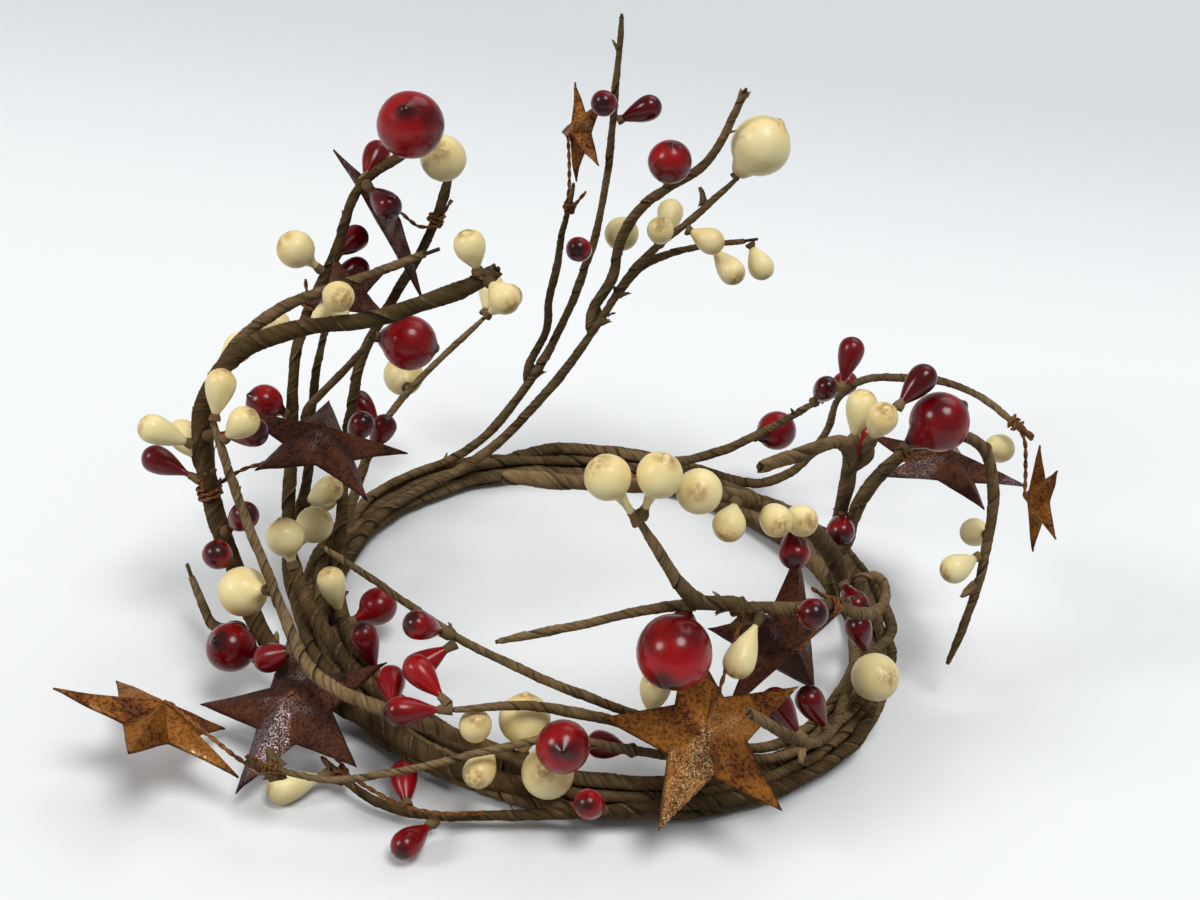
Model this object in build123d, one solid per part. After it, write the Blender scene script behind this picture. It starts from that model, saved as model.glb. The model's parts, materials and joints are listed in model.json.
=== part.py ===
from build123d import *
import os
from math import acos, asin, atan2, cos, degrees, pi, radians, sin, sqrt, tan

# Candle ring: a wreath of paper-wrapped wire twigs with berries and tin stars.
# Frame: origin at the ring centre on the table, +Z up, -Y is the front. All sizes in mm.
# Places on the ring are written (angle in degrees, outward from ring_radius, up from the table).

ring_radius = 72.0
hoop_radius = 2.4
hoop_flat = 0.5
strand_radius = 1.6
lay_gap = 0.35
sway = 7.0
lane_step = 14.0
strand_opening = 9.0

# twig radii, with the paper wrapped on
arch_twig = 2.1
heavy_twig = 2.0
stout_twig = 1.7
upright_twig = 1.6
middle_twig = 1.5
slim_twig = 1.4
fine_twig = 1.3
finest_twig = 1.2

large_red = 16.0
medium_red = 14.0
small_berry = 11.5
tiny_berry = 9.5
red_pip_width = 6.4
red_pip_length = 11.0
cream_pip_width = 6.8
cream_pip_length = 9.0
stalk_radius = 0.7
seat_gap = 0.1
shortest_neck = 0.5
lean = 0.45

large_star = 23.0
small_star = 14.0
star_valley = 0.40
star_peak = 0.25
star_crown = 0.09
sheet = 0.5
wire_radius = 0.45
pin_clearance = 0.05
hook_length = 1.8
hook_drop = 2.5
leg_lift = 3.2
leg_drop = 3.0
leg_bend = 1.2
wrap_gap = 0.2
wrap_turns = 1.5

hoop_height = hoop_radius - hoop_flat
first_layer = hoop_radius + strand_radius + lay_gap
strand_spread = 2 * degrees(asin((strand_radius + lay_gap / 2) / first_layer))
lanes = {"outer": 90 - strand_spread, "top": 90.0, "inner": 90 + strand_spread}

os.makedirs("parts", exist_ok=True)


def place(angle, out, up):
    r = ring_radius + out
    return Vector(r * cos(radians(angle)), r * sin(radians(angle)), up)


def around_hoop(angle, layer, turn, step):
    turn = radians(turn + sway * sin(radians(2 * angle)))
    r = (ring_radius + layer * cos(turn)) / cos(radians(step / 2))
    return place(angle, r - ring_radius, hoop_height + layer * sin(turn))


def round_the_ring(start, step, count, layer, turn):
    # corners stand out so that the arcs follow the circle; the first run starts where it touches it
    points = [around_hoop(start + step / 2, layer, turn, 0)]
    for k in range(1, count + 1):
        points.append(around_hoop(start + step * k, layer, turn, step))
    return points


def turn_between(before, corner, after):
    return radians((corner - before).get_angle(after - corner))


def route(points, caps=None):
    # straight runs joined by tangent arcs; corners that hardly turn are left out
    kept = [points[0]]
    for here, after in zip(points[1:-1], points[2:]):
        if turn_between(kept[-1], here, after) > radians(1.0):
            kept.append(here)
    kept.append(points[-1])
    radii = []
    for k in range(1, len(kept) - 1):
        run = min((kept[k] - kept[k - 1]).length, (kept[k + 1] - kept[k]).length)
        radius = 0.45 * run / tan(turn_between(kept[k - 1], kept[k], kept[k + 1]) / 2)
        if caps and k <= len(caps):
            radius = min(radius, caps[k - 1])
        radii.append(radius)
    return FilletPolyline(*kept, radius=radii), radii


def tube(path, radius):
    return sweep(Plane(origin=path @ 0, z_dir=path % 0) * Circle(radius), path=path)


def save(name, solids):
    shape = solids[0] if len(solids) == 1 else Compound(children=solids)
    export_step(shape, "parts/" + name + ".step")
    print(name, len(solids), "solids", round(sum(s.volume for s in solids), 1), "mm3")


# base hoop, ground flat underneath so the ring stands on it
hoop = Pos(0, 0, hoop_height) * Torus(ring_radius, hoop_radius)
under = Pos(0, 0, -hoop_radius) * Box(4 * ring_radius, 4 * ring_radius, 2 * hoop_radius)
save("base_hoop", [(hoop - under).solid()])

# four long strands laid side by side over the hoop, each an open loop
strand_places = {
    "outer_low_strand": (-1.5, 20),
    "outer_high_strand": (-0.5, 110),
    "inner_high_strand": (0.5, 205),
    "inner_low_strand": (1.5, 300),
}
for name, (offset, start) in strand_places.items():
    count = round((360 - strand_opening) / lane_step)
    step = (360 - strand_opening) / count
    turn = 90 + offset * strand_spread
    points = round_the_ring(start, step, count - 1, first_layer, turn)
    points.append(around_hoop(start + step * (count - 0.5), first_layer, turn, 0))
    path, radii = route(points)
    save(name, [tube(path, strand_radius).solid()])

stems = {}
samples = {}
sample_count = 240


def add_stem(name, radius, points):
    path, radii = route(points)
    body = tube(path, radius).solid()
    stems[name] = (path, radius)
    samples[name] = [path @ (k / sample_count) for k in range(sample_count + 1)]
    full = pi * radius ** 2 * path.length
    print(name, "length", round(path.length, 1), "volume ratio", round(body.volume / full, 4),
          "radii", [round(r, 1) for r in radii])
    save(name, [body])


def lane_stem(name, radius, lane, start, end, *free):
    # the tail lies in a groove of the strands, then the stem rises clear along the free points
    half = radians(strand_spread / 2)
    rest = (strand_radius + radius + lay_gap) ** 2 - (first_layer * sin(half)) ** 2
    layer = first_layer * cos(half) + sqrt(rest)
    count = max(2, round(abs(end - start) / lane_step))
    step = (end - start) / count
    tail = round_the_ring(start, step, count, layer, lanes[lane])
    add_stem(name, radius, tail + [place(*p) for p in free])


def side_stem(name, radius, parent, start, end, side, *free):
    # the twig starts laid against its parent stem, then leaves it
    path, parent_radius = stems[parent]
    points = []
    for f in (start, (start + end) / 2, end):
        at = path @ f
        along = path % f
        angle = atan2(at.Y, at.X)
        push = (Vector(-sin(angle), cos(angle), 0) * side[0] + Vector(cos(angle), sin(angle), 0) * side[1]
                + Vector(0, 0, 1) * side[2])
        push = (push - along * push.dot(along)).normalized()
        points.append(at + push * (parent_radius + radius + lay_gap))
    add_stem(name, radius, points + [place(*p) for p in free])


# left sprays
lane_stem("left_arch_stem", arch_twig, "outer", -98, -132,
          (-142, 13, 9), (-152, 17, 13), (-160, 21, 24), (-164, 26, 40), (-166, 29, 56), (-167, 26, 69),
          (-167, 18, 79), (-165, 6, 85), (-161, -9, 89), (-157, -21, 95), (-150, -29, 101), (-144, -33, 107))
side_stem("left_arch_fork", middle_twig, "left_arch_stem", 0.52, 0.60, (-1, -0.3, 0),
          (-170, 22, 76), (-171, 9, 87), (-171, -5, 93), (-172, -16, 98), (-173, -25, 102))
lane_stem("left_front_stem", middle_twig, "top", -60, -94,
          (-103, 3, 14), (-112, 9, 20), (-118, 15, 24), (-125, 19, 26), (-132, 20, 26), (-140, 18, 30),
          (-149, 18, 38), (-156, 22, 51), (-160, 26, 66))
side_stem("left_outer_twig", slim_twig, "left_arch_stem", 0.30, 0.345, (0, 1, -0.3),
          (-157, 26, 10), (-162, 29, 13), (-167, 32, 18))
lane_stem("left_tall_stem", stout_twig, "top", -102, -144,
          (-154, 3, 13), (-165, 6, 16), (-176, 9, 18), (-184, 11, 24), (-189, 13, 34), (-192, 15, 47),
          (-195, 16, 61), (-198, 12, 74), (-200, 8, 88), (-202, 7, 99), (-204, 0, 107), (-206, -8, 113))
lane_stem("left_middle_stem", slim_twig, "outer", -142, -164,
          (-174, 9, 10), (-182, 9, 15), (-189, 8, 25), (-194, 11, 38), (-198, 12, 56), (-201, 11, 68))
lane_stem("left_inner_stem", middle_twig, "inner", -100, -156,
          (-167, -5, 10), (-178, -4, 14), (-187, -2, 19), (-196, 2, 28), (-203, 6, 41), (-207, 6, 54),
          (-212, 2, 68), (-216, -2, 80), (-219, -4, 92), (-220, -5, 102))
side_stem("left_cross_twig", fine_twig, "left_tall_stem", 0.55, 0.60, (-0.3, -1, 0),
          (-192, 8, 46), (-194, 3, 53), (-195, -1, 59), (-196, -4, 65))

# back sprays
lane_stem("back_left_twig", middle_twig, "top", -166, -186,
          (-195, -1, 14), (-203, 2, 19), (-211, 5, 24), (-219, 7, 31), (-230, 8, 40), (-239, 8, 50))
lane_stem("back_tall_stem", middle_twig, "top", -196, -232,
          (-240, -1, 18), (-247, -2, 32), (-253, -4, 50), (-257, -5, 68), (-259, -6, 84), (-259.5, -7, 100),
          (-259, -8, 120), (-258, -9.5, 142))
side_stem("back_star_twig", finest_twig, "back_tall_stem", 0.40, 0.48, (1, 0.4, 0),
          (-250, -1, 58), (-251.5, -1, 68), (-251, -2, 78), (-252, -5, 88), (-252, -6, 95))
lane_stem("back_spread_stem", stout_twig, "inner", -182, -226,
          (-236, -6, 13), (-246, -8, 26), (-255, -10, 42), (-262, -10, 57), (-267, -10, 70), (-273, -10, 80),
          (-280, -8, 88), (-285, -6, 95), (-289, -3, 101))
side_stem("back_berry_twig", middle_twig, "back_spread_stem", 0.66, 0.74, (1, 0.5, 0.5),
          (-264, -8, 78), (-266, -10, 87), (-270, -11, 94), (-275, -12, 99), (-281, -9, 103), (-284, -7, 109),
          (-286, -5, 117), (-288, -4, 126))
side_stem("back_level_twig", fine_twig, "back_spread_stem", 0.72, 0.78, (-0.3, 1, -0.3),
          (-275, -5, 76), (-281, -4, 79), (-288, 0, 81), (-294, 4, 83))
lane_stem("back_right_stem", middle_twig, "top", -246, -284,
          (-293, 2, 15), (-301, 4, 24), (-308, 5, 34), (-314, 5, 43))

# right sprays
lane_stem("right_back_stem", fine_twig, "outer", 104, 58,
          (49, 5, 17), (41, 1, 32), (33, -6, 47), (27, -11, 60), (20, -10, 69), (13, -2, 74), (7, 8, 77),
          (2, 18, 75), (-1, 26, 70))
lane_stem("right_stem", heavy_twig, "inner", 62, 14,
          (6, -9, 11), (-2, -13, 19), (-7, -15, 32), (-11, -16, 46), (-16, -15.5, 60), (-22, -15, 73),
          (-34, -15.5, 80), (-48, -15, 81), (-60, -14, 81))
side_stem("right_fork", middle_twig, "right_stem", 0.73, 0.78, (0.6, 1, 0),
          (-18, -10, 79.5), (-14.5, -8, 82.5))
side_stem("right_berry_twig", fine_twig, "right_stem", 0.61, 0.66, (-0.8, 1, 0),
          (-15, -9, 66), (-13, -5, 71))
side_stem("right_drooping_twig", middle_twig, "right_stem", 0.53, 0.59, (0.8, 1, 0),
          (-9, -10, 58), (-5, -2, 67), (-3, 7, 71), (-3, 14, 69), (-4, 18.5, 61), (-5, 20.5, 49),
          (-6, 21, 36), (-8, 20, 23), (-9.5, 18, 11))

# front sprays
lane_stem("front_right_arch", heavy_twig, "top", 52, 4,
          (-5, -4, 13), (-11, -9, 21), (-16, -11, 31), (-23, -13, 42), (-32, -13, 52), (-42, -13, 61),
          (-52, -13, 69), (-66, -11, 77), (-78, -10, 80), (-95, -10, 79), (-112, -7, 77))
side_stem("front_cross_twig", slim_twig, "front_right_arch", 0.40, 0.44, (0.3, 1, 0),
          (-14, -3, 36), (-19, 0, 34), (-26, 0, 35), (-33, -1, 39), (-42, -3, 46), (-52, -3, 49),
          (-62, -4, 52), (-72, -5, 54), (-83, -5, 52), (-97, -3, 46), (-108, -2, 39))
side_stem("front_upright_twig", upright_twig, "front_cross_twig", 0.61, 0.67, (0, 1, 1),
          (-77, -2, 61), (-81, -3, 67), (-86, -4, 76))
lane_stem("front_right_twig", slim_twig, "outer", 46, 6,
          (-4, 4, 11), (-13, 0, 13.5), (-22, -3, 14), (-31, -1, 12.5), (-41, 4, 13.5), (-52, 11, 21),
          (-61, 17, 32), (-69, 18, 43))
lane_stem("front_long_twig", slim_twig, "inner", 4, -50,
          (-60, -6, 11), (-70, -7, 17), (-80, -7, 22), (-88, -6, 26), (-95, -5, 29), (-105, -5, 32),
          (-116, -3, 35), (-130, -2, 38), (-141, 2, 41), (-147, 5, 41))
side_stem("front_short_twig", middle_twig, "front_long_twig", 0.50, 0.56, (0, 1, -0.4),
          (-92, 0, 27), (-98, 2, 29), (-105, 8, 30), (-110, 13, 30))
lane_stem("front_star_twig", fine_twig, "top", -6, -50,
          (-60, 0, 12), (-72, 1, 16), (-84, 2, 20), (-94, 6, 25), (-101, 13, 25), (-109, 21, 22),
          (-116, 29, 18), (-122, 36, 16), (-128, 42, 18))
lane_stem("front_low_twig", stout_twig, "outer", -24, -64,
          (-77, 7, 8), (-91, 9, 6), (-103, 13, 4.5), (-110, 18, 3.5), (-116, 21, 3.5), (-122, 21.5, 4.5),
          (-128, 21, 6.5))


def seat_on(stem, centre, back_length):
    # where a stalk meets its stem: start point, direction and length up to the berry centre
    path, radius = stems[stem]
    near = min(range(len(samples[stem])), key=lambda k: (samples[stem][k] - centre).length)
    reach = (samples[stem][near] - centre).length
    at_end = near == len(samples[stem]) - 1
    foot_at = near if at_end else max(0, near - round(lean * reach / path.length * sample_count))
    foot = samples[stem][foot_at]
    along = path % (foot_at / sample_count)
    aim = (centre - foot).normalized()
    end_on = at_end and aim.dot(along) > 0.45
    if end_on:
        sideways = (aim - along * aim.dot(along)).normalized()
        foot = foot + sideways * min(radius - stalk_radius, stalk_radius + seat_gap)
        aim = (centre - foot).normalized()
    tilt = aim.dot(along)
    upright = sqrt(1 - tilt ** 2)
    if end_on:
        start = (seat_gap + stalk_radius * upright) / tilt
    else:
        start = (radius + seat_gap + stalk_radius * abs(tilt)) / upright
    length = max((centre - foot).length - start, back_length + shortest_neck)
    return Plane(origin=foot + aim * start, z_dir=aim), length


def round_berry(stem, centre, diameter):
    seat, middle = seat_on(stem, centre, diameter / 2)
    r = diameter / 2
    tip = stalk_radius * 1.2
    low = middle - sqrt(r ** 2 - stalk_radius ** 2)
    high = middle + sqrt(r ** 2 - tip ** 2)
    end = middle + r + 0.05 * diameter
    edges = [
        Line((0, 0), (stalk_radius, 0)),
        Line((stalk_radius, 0), (stalk_radius, low)),
        ThreePointArc((stalk_radius, low), (r, middle), (tip, high)),
        Line((tip, high), (tip * 0.7, end)),
        Line((tip * 0.7, end), (0, end)),
        Line((0, end), (0, 0)),
    ]
    return seat.location * turned(edges)


def pip(stem, centre, width, length):
    r = width / 2
    seat, middle = seat_on(stem, centre, length / 2)
    wide = middle + length / 2 - r
    low = wide + r - length
    flare = ((r - stalk_radius) ** 2 + (wide - low) ** 2) / (2 * (r - stalk_radius))
    half = asin((wide - low) / flare) / 2
    between = (r - flare + flare * cos(half), wide - flare * sin(half))
    crown = (r * cos(pi / 4), wide + r * sin(pi / 4))
    edges = [
        Line((0, 0), (stalk_radius, 0)),
        Line((stalk_radius, 0), (stalk_radius, low)),
        ThreePointArc((stalk_radius, low), between, (r, wide)),
        ThreePointArc((r, wide), crown, (0, wide + r)),
        Line((0, wide + r), (0, 0)),
    ]
    return seat.location * turned(edges)


def turned(edges):
    flat = Plane.XZ * make_face(edges)
    return revolve(flat, axis=Axis.Z, revolution_arc=360).solid()


berries = {
    "left_red_berries": [
        ("left_tall_stem", 161, -10, 121, large_red), ("left_cross_twig", 161, -13, 64, medium_red),
        ("left_tall_stem", 172, 20, 45, tiny_berry), ("left_outer_twig", -148, 26, 17, small_berry),
        ("left_inner_stem", -160, -14, 10, tiny_berry)],
    "left_cream_berries": [
        ("left_inner_stem", 146, -9, 108, small_berry), ("left_tall_stem", 165, 17, 84, tiny_berry),
        ("left_tall_stem", -168, 8.5, 25, tiny_berry), ("left_middle_stem", -176, 2, 22, tiny_berry),
        ("left_front_stem", -150.5, 22, 29, small_berry)],
    "front_red_berries": [
        ("front_cross_twig", -78, 5, 49, large_red), ("front_star_twig", -93, 14, 29, small_berry)],
    "front_cream_berries": [
        ("left_front_stem", -95, 8, 16, small_berry), ("left_front_stem", -101, -1, 21.5, small_berry),
        ("front_upright_twig", -92, -2, 86, tiny_berry),
        ("front_upright_twig", -83.5, -2.5, 87.5, tiny_berry),
        ("front_right_arch", -76, -4, 83, tiny_berry)],
    "back_and_right_red_berries": [
        ("right_berry_twig", -9, 2, 77, medium_red), ("back_berry_twig", 86, -15, 106.5, small_berry),
        ("back_right_stem", 57, 12, 24, small_berry)],
    "back_and_right_cream_berries": [
        ("front_right_twig", -28, 4, 19.5, small_berry), ("back_spread_stem", 68, 1, 110, large_red),
        ("back_berry_twig", 95, -1, 79, tiny_berry), ("back_left_twig", 136, 15, 32, small_berry)],
}
for name, rows in berries.items():
    save(name, [round_berry(stem, place(a, out, up), size) for stem, a, out, up, size in rows])

red_pips = {
    "left_red_pips": [
        ("left_tall_stem", 161, -4, 100), ("left_tall_stem", 151, 8, 104), ("left_tall_stem", 154, 11, 82),
        ("left_tall_stem", 156, 9, 75), ("left_arch_stem", -168, 37, 46), ("left_arch_stem", -162, 18, 60),
        ("left_arch_stem", -158, 20, 41), ("left_arch_stem", -155.5, 25.5, 34),
        ("left_front_stem", -138.9, 21, 24), ("left_inner_stem", 165, -2, 38),
        ("back_left_twig", 154, -1, 30),
        ("left_inner_stem", -142, -4, 15)],
    "front_red_pips": [
        ("front_long_twig", -119.5, 4, 40.5), ("front_long_twig", -119.5, 2.5, 30),
        ("left_front_stem", -123, 8, 24),
        ("front_short_twig", -116, 10, 33), ("front_short_twig", -115, 17, 29),
        ("front_low_twig", -116, 14.5, 4.5), ("front_low_twig", -110, 27, 4.5),
        ("front_star_twig", -85.5, -4, 15.5), ("front_low_twig", -87.5, 12, 12)],
    "back_and_right_red_pips": [
        ("right_back_stem", 30, -7, 69), ("right_fork", -10, -5, 86), ("right_stem", -9, -14.5, 67),
        ("right_stem", -19.5, -14.5, 50.5), ("front_right_arch", -53.5, -5.7, 64.5),
        ("front_cross_twig", -54, 3.5, 53.5), ("front_right_arch", -24.8, -6.5, 35),
        ("front_right_twig", -18.5, -4.5, 21.5), ("front_right_twig", -58, 7, 31),
        ("front_right_twig", -45, 3, 19), ("back_tall_stem", 104, -14, 120),
        ("back_tall_stem", 95.5, -8, 116),
        ("back_tall_stem", 105.5, -11, 78), ("back_right_stem", 45, 11, 46), ("back_right_stem", 43, 2, 49),
        ("back_left_twig", 147, 12, 28)],
}
for name, rows in red_pips.items():
    save(name, [pip(stem, place(a, out, up), red_pip_width, red_pip_length) for stem, a, out, up in rows])

cream_pips = {
    "left_cream_pips": [
        ("left_arch_stem", -166, 38, 57), ("left_arch_stem", -171, 33, 50),
        ("left_front_stem", -161, 24, 73),
        ("left_front_stem", -158, 20, 66), ("left_arch_fork", -163, -2, 94),
        ("left_arch_stem", -171, -1, 85),
        ("left_arch_fork", -176, 13, 77), ("left_arch_fork", -175, 21, 71),
        ("left_middle_stem", 176, 1, 26),
        ("left_middle_stem", 168, 6, 16), ("left_inner_stem", -161, -2.5, 17),
        ("left_arch_stem", -150, -28, 110),
        ("left_arch_stem", -138, -31, 103)],
    "front_cream_pips": [
        ("front_low_twig", -128, 31, 3.8), ("left_front_stem", -107, 9, 24),
        ("left_front_stem", -104.5, 13.5, 17),
        ("front_long_twig", -78, -5, 31), ("front_cross_twig", -65.3, 2, 43.5),
        ("front_right_arch", -69, -5, 74.5),
        ("front_right_arch", -60.5, -4, 74.5), ("front_right_arch", -54, -5, 72)],
    "back_and_right_cream_pips": [
        ("right_stem", -20, -15.5, 82), ("right_fork", -26, -9, 84), ("right_drooping_twig", 2, 20, 64),
        ("right_drooping_twig", -8, 14.5, 38), ("right_drooping_twig", 0, 19, 41),
        ("back_spread_stem", 85, 0, 86), ("back_spread_stem", 86, -15.5, 87),
        ("back_spread_stem", 74, -10, 85),
        ("back_level_twig", 68, -7, 77), ("back_level_twig", 64, 2, 77), ("back_left_twig", 119, 13, 56),
        ("back_left_twig", 118, 4, 57)],
}
for name, rows in cream_pips.items():
    save(name, [pip(stem, place(a, out, up), cream_pip_width, cream_pip_length) for stem, a, out, up in rows])


def star_plane(centre, facing, rise, spin):
    # face normal from compass angle and rise; spin turns the first point up from the level direction
    normal = Vector(cos(radians(rise)) * cos(radians(facing)), cos(radians(rise)) * sin(radians(facing)),
                    sin(radians(rise)))
    level = Vector(0, 0, 1).cross(normal).normalized()
    climb = normal.cross(level)
    first = level * cos(radians(spin)) + climb * sin(radians(spin))
    return Plane(origin=centre, x_dir=first, z_dir=normal)


def star_outline(reach, height):
    points = []
    for k in range(10):
        r = reach if k % 2 == 0 else reach * star_valley
        points.append((r * cos(radians(36 * k)), r * sin(radians(36 * k))))
    return Pos(0, 0, height) * make_face(Polyline(*points, close=True))


def crown_of(reach):
    return star_peak * reach * (1 - star_crown)


def tin_star(plane, reach):
    # pressed tin: ridges out to the points, valleys between, one nail hole in the middle
    solid = loft([star_outline(reach, 0), star_outline(reach * star_crown, crown_of(reach))], ruled=True)
    hollow = Pos(0, 0, -sheet) * solid
    hole = Cylinder(wire_radius + pin_clearance, 3 * reach)
    return plane.location * (solid - hollow - hole).solid()


def tie_wire(plane, reach, side, stem, fraction):
    # hook, straight pin through the hole, leg to the stem, then turns round the stem
    path, radius = stems[stem]
    axis = plane.z_dir * side
    middle = plane.origin + plane.z_dir * crown_of(reach)
    if side > 0:
        hook_at = middle - axis * hook_drop
        leg_at = middle + axis * leg_lift
    else:
        hook_at = middle - axis * (hook_drop - sheet)
        leg_at = plane.origin + axis * leg_drop
    at = path @ fraction
    along = path % fraction
    reach_out = leg_at - at
    level = reach_out - along * reach_out.dot(along)
    away = level.normalized()
    round_dir = along.cross(away)
    coil = radius + wire_radius + wrap_gap
    corner = coil / cos(pi / 8)
    touch = acos(coil / level.length)
    pitch = 2 * wire_radius + 0.3
    points = [hook_at + plane.x_dir * hook_length, hook_at, leg_at]
    for k in range(round(8 * wrap_turns)):
        turn = touch + pi / 8 + k * pi / 4
        points.append(at + along * (pitch * (k / 8 - wrap_turns / 2))
                      + (away * cos(turn) + round_dir * sin(turn)) * corner)
    wire, radii = route(points, caps=[leg_bend, leg_bend])
    print("tie on", stem, "length", round(wire.length, 1), "radii", [round(r, 2) for r in radii])
    return tube(wire, wire_radius).solid()


# name: place of the rim centre, facing, rise, spin, reach, side the leg leaves on, tied to, how far along it
stars = {
    "front_star": ((-71.4, 7.8, 28.5), -93, 47, 36, large_star, 1, "front_cross_twig", 0.595),
    "left_low_star": ((-134.0, 21.6, 14), -127, 66, 67, large_star, -1, "front_low_twig", 0.96),
    "left_flat_star": ((-171.3, 0.8, 49), 10, 79, -76, large_star, -1, "left_arch_stem", 0.50),
    "left_end_star": ((-139.5, 50.3, 15.3), 53, 58, -90, large_star, 1, "front_star_twig", 0.97),
    "left_edge_star": ((149.8, 6.8, 86.6), 24, 30, 13, large_star, 1, "left_inner_stem", 0.93),
    "left_small_star": ((173.5, -1, 80.5), -120, 60, 68, small_star, -1, "left_tall_stem", 0.74),
    "front_dark_star": ((-47.3, -9.9, 35), -56, 3, 16, large_star, 1, "front_cross_twig", 0.38),
    "right_flat_star": ((13.6, 14.4, 46.8), 57, 81, 214, large_star, 1, "right_drooping_twig", 0.28),
    "right_small_star": ((-3.1, 31.1, 56), -173, -2, 63, small_star, 1, "right_back_stem", 0.97),
    "back_small_star": ((106.25, -0.5, 107), -152, 4, 55, small_star, 1, "back_star_twig", 0.88),
}
ties = {"left_tie_wires": [], "front_tie_wires": [], "back_and_right_tie_wires": []}
for name, (spot, facing, rise, spin, reach, side, stem, fraction) in stars.items():
    plane = star_plane(place(*spot), facing, rise, spin)
    save(name, [tin_star(plane, reach)])
    group = "left_tie_wires" if name.startswith("left") else "back_and_right_tie_wires"
    if name.startswith("front"):
        group = "front_tie_wires"
    ties[group].append(tie_wire(plane, reach, side, stem, fraction))
    pivot = plane.origin + plane.z_dir * crown_of(reach)
    print(name, "pivot", [round(v / 1000, 6) for v in tuple(pivot)],
          "axis", [round(v, 6) for v in tuple(plane.z_dir)])
for name, solids in ties.items():
    save(name, solids)
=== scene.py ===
import bmesh
import bpy
import json
import random
from math import acos, asin, atan2, ceil, cos, degrees, pi, radians, sin, sqrt
from mathutils import Matrix, Vector, noise


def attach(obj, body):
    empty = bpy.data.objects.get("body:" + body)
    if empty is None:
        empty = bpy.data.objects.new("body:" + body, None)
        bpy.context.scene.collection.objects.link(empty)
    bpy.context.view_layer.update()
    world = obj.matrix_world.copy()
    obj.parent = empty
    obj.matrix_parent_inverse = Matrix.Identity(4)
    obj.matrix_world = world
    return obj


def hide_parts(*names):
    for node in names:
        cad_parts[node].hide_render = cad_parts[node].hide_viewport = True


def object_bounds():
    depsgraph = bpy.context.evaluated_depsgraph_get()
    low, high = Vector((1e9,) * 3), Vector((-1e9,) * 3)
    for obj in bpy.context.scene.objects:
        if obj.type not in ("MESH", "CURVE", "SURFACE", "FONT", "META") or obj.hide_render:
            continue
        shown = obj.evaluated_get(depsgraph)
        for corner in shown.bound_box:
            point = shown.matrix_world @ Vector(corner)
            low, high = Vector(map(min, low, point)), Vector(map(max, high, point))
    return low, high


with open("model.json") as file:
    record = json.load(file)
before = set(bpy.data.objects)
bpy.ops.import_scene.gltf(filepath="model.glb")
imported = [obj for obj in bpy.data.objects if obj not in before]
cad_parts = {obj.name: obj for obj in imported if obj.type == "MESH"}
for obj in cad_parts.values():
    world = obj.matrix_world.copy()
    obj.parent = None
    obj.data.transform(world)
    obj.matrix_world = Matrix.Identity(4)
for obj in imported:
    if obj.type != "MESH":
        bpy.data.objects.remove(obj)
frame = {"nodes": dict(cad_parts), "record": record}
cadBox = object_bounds()
mm = 0.001
weld = 0.001 * mm
noise.seed_set(1)      # else every run bends the berries another way
print("frame loaded:", len(frame["nodes"]), "nodes")


# shader maths

class Sock:
    def __init__(self, tree, link=None):
        self.tree, self.link = tree, link

    def node(self, kind, settings=None, inputs=None, out=0):
        made = self.tree.nodes.new("ShaderNode" + kind)
        for key, value in (settings or {}).items():
            setattr(made, key, value)
        for key, value in (inputs or {}).items():
            if isinstance(value, Sock):
                self.tree.links.new(value.link, made.inputs[key])
            else:
                made.inputs[key].default_value = value
        return Sock(self.tree, made.outputs[out])

    def maths(self, what, one, two):
        return self.node("Math", {"operation": what}, {0: one, 1: two})

    def __add__(self, other):
        return self.maths("ADD", self, other)

    def __radd__(self, other):
        return self.maths("ADD", other, self)

    def __sub__(self, other):
        return self.maths("SUBTRACT", self, other)

    def __rsub__(self, other):
        return self.maths("SUBTRACT", other, self)

    def __mul__(self, other):
        return self.maths("MULTIPLY", self, other)

    def __rmul__(self, other):
        return self.maths("MULTIPLY", other, self)

    def band(self, low, high):    # 0 below low, 1 above high, smooth between
        return self.node("MapRange", {"interpolation_type": "SMOOTHSTEP"}, {0: self, 1: low, 2: high})

    def mix(self, one, two):      # colours, by this value
        return self.node("Mix", {"data_type": "RGBA"}, {0: self, 6: one, 7: two}, 2)


def rgb(r, g, b):
    return (r, g, b, 1)


def newFinish(name):
    finish = bpy.data.materials.new(name)
    finish.use_nodes = True
    shader = finish.node_tree.nodes["Principled BSDF"]
    pen = Sock(finish.node_tree)
    spot = pen.node("TexCoord", out="Object")
    return finish, shader, pen, spot


def plug(pen, shader, name, value):
    pen.tree.links.new(value.link, shader.inputs[name])


def fixed(shader, values):
    for name, value in values.items():
        shader.inputs[name].default_value = value


def grain(pen, spot, scale, detail=3.0, rough=0.55):
    return pen.node("TexNoise", None, {"Vector": spot, "Scale": scale, "Detail": detail, "Roughness": rough})


def bumped(pen, shader, height, strength, distance):
    bump = pen.node("Bump", None, {"Height": height, "Strength": strength, "Distance": distance})
    plug(pen, shader, "Normal", bump)


def reading(pen, name):
    return pen.node("Attribute", {"attribute_name": name}, None, "Fac")


def randomSpot(span=90):
    return Vector([random.uniform(0, span) for k in range(3)])


# twig paper: crepe ribbon wound round wire, with painted shade under each overlap and in the pleat valleys,
# and painted highlights on the pleat crests

# gap is the colour of painted shade; dry is pale dry paper, and also the painted highlight on pleat crests
paperLook = {
    "tan": rgb(0.262, 0.172, 0.082), "brown": rgb(0.098, 0.057, 0.022), "olive": rgb(0.060, 0.043, 0.013),
    "gap": rgb(0.012, 0.008, 0.004), "dry": rgb(0.44, 0.31, 0.165)}


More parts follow.
